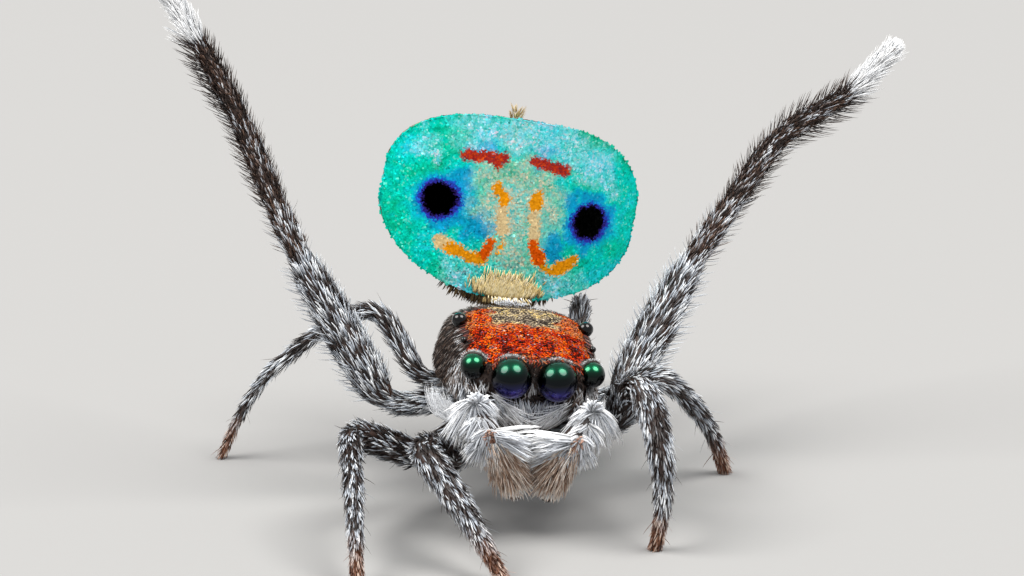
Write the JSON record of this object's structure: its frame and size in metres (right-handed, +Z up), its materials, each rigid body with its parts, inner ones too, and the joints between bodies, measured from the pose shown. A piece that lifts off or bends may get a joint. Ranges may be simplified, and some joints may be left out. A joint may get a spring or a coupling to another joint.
{
  "type": "peacock spider",
  "caption": "Life-size still model of a male peacock jumping spider with its coloured fan raised and two fringed legs held up.",
  "frame": {"origin": "on the floor, at the middle of the model's footprint", "axes": "+Z up, -Y the way the spider faces, +X to the spider's left"},
  "size_m": [0.0086, 0.0062, 0.0058],
  "materials": {
    "carapace_hair": "matte brown with orange-red scales on top",
    "underside": "satin dark brown",
    "eye_lens": "wet gloss, green above and violet below",
    "palp_hair": "matte white and beige hair",
    "leg_hair": "matte dark brown skin under grey-white hair",
    "abdomen_hair": "matte brown hair, scaled in front",
    "fan_scales": "iridescent turquoise scales"
  },
  "bodies": {
    "root": {"abdomen": "abdomen_hair", "carapace": "carapace_hair", "chelicera_left": "underside", "chelicera_right": "underside", "eye_front_left": "eye_lens", "eye_front_right": "eye_lens", "eye_rear_left": "eye_lens", "eye_rear_right": "eye_lens", "eye_side_left": "eye_lens", "eye_side_right": "eye_lens", "eye_small_left": "eye_lens", "eye_small_right": "eye_lens", "fan_flap_left": "fan_scales", "fan_flap_right": "fan_scales", "leg_1_left_coxa": "leg_hair", "leg_1_left_femur": "leg_hair", "leg_1_left_foot": "leg_hair", "leg_1_left_tibia": "leg_hair", "leg_1_right_coxa": "leg_hair", "leg_1_right_femur": "leg_hair", "leg_1_right_foot": "leg_hair", "leg_1_right_tibia": "leg_hair", "leg_2_left_coxa": "leg_hair", "leg_2_left_femur": "leg_hair", "leg_2_left_foot": "leg_hair", "leg_2_left_tibia": "leg_hair", "leg_2_right_coxa": "leg_hair", "leg_2_right_femur": "leg_hair", "leg_2_right_foot": "leg_hair", "leg_2_right_tibia": "leg_hair", "leg_3_left_coxa": "leg_hair", "leg_3_left_femur": "leg_hair", "leg_3_left_foot": "leg_hair", "leg_3_left_tibia": "leg_hair", "leg_3_right_coxa": "leg_hair", "leg_3_right_femur": "leg_hair", "leg_3_right_foot": "leg_hair", "leg_3_right_tibia": "leg_hair", "leg_4_left_coxa": "leg_hair", "leg_4_left_femur": "leg_hair", "leg_4_left_foot": "leg_hair", "leg_4_left_tibia": "leg_hair", "leg_4_right_coxa": "leg_hair", "leg_4_right_femur": "leg_hair", "leg_4_right_foot": "leg_hair", "leg_4_right_tibia": "leg_hair", "palp_arm_left": "palp_hair", "palp_arm_right": "palp_hair", "palp_tip_left": "palp_hair", "palp_tip_right": "palp_hair", "pedicel": "abdomen_hair", "spinnerets": "abdomen_hair", "sternum": "underside"}
  },
  "joints": []
}
